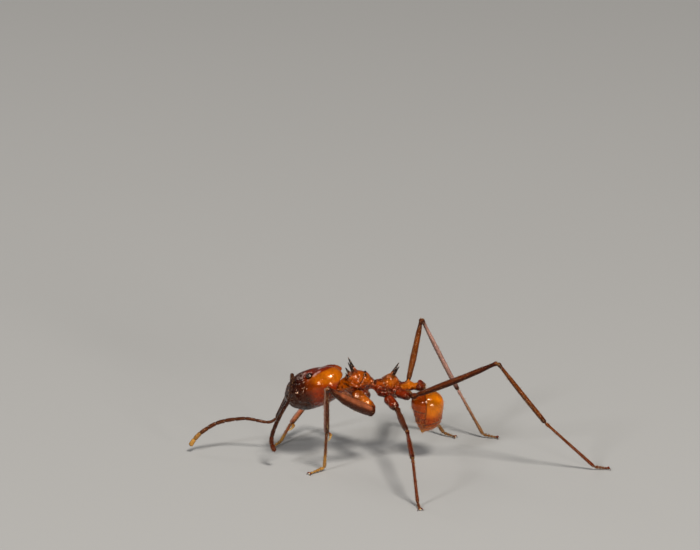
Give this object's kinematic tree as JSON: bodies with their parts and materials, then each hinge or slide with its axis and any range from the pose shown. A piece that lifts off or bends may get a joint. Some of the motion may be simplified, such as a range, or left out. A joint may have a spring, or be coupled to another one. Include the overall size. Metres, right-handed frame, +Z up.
{
  "type": "leafcutter ant",
  "caption": "Leafcutter ant worker, life size, walking with its head low and its gaster hanging: glossy amber body with dark spines, long slender legs and bent feelers.",
  "frame": {"origin": "middle of the ant's bounding box, on the ground that its six feet stand on", "axes": "+X from the jaws to the tail, +Y to the ant's right, +Z up"},
  "size_m": [0.0186, 0.0106, 0.0058],
  "materials": {
    "amber_plate": "glossy amber-orange insect plate, darker in its grooves and pits",
    "chestnut_plate": "glossy chestnut-brown plate of the waist and the thighs",
    "golden_limb": "satin golden-brown shins and feet",
    "umber_horn": "dark brown horn of jaws, feelers and spines",
    "eye_black": "black faceted compound eye",
    "pale_hair": "fine pale yellow bristles"
  },
  "bodies": {
    "root": {"head": "amber_plate", "eye_left": "eye_black", "eye_right": "eye_black", "mandible_left": "umber_horn", "mandible_right": "umber_horn", "scape_left": "umber_horn", "whip_1_left": "umber_horn", "whip_2_left": "umber_horn", "whip_3_left": "umber_horn", "scape_right": "umber_horn", "whip_1_right": "umber_horn", "whip_2_right": "umber_horn", "whip_3_right": "umber_horn", "mesosoma": "amber_plate", "petiole": "chestnut_plate", "postpetiole": "chestnut_plate", "gaster": "amber_plate", "coxa_fore_left": "amber_plate", "femur_fore_left": "chestnut_plate", "tibia_fore_left": "golden_limb", "tarsus_fore_left": "golden_limb", "foot_fore_left": "golden_limb", "coxa_fore_right": "amber_plate", "femur_fore_right": "chestnut_plate", "tibia_fore_right": "golden_limb", "tarsus_fore_right": "golden_limb", "foot_fore_right": "golden_limb", "coxa_mid_left": "amber_plate", "femur_mid_left": "chestnut_plate", "tibia_mid_left": "golden_limb", "tarsus_mid_left": "golden_limb", "foot_mid_left": "golden_limb", "coxa_mid_right": "amber_plate", "femur_mid_right": "chestnut_plate", "tibia_mid_right": "golden_limb", "tarsus_mid_right": "golden_limb", "foot_mid_right": "golden_limb", "coxa_hind_left": "amber_plate", "femur_hind_left": "chestnut_plate", "tibia_hind_left": "golden_limb", "tarsus_hind_left": "golden_limb", "foot_hind_left": "golden_limb", "coxa_hind_right": "amber_plate", "femur_hind_right": "chestnut_plate", "tibia_hind_right": "golden_limb", "tarsus_hind_right": "golden_limb", "foot_hind_right": "golden_limb"}
  },
  "joints": []
}
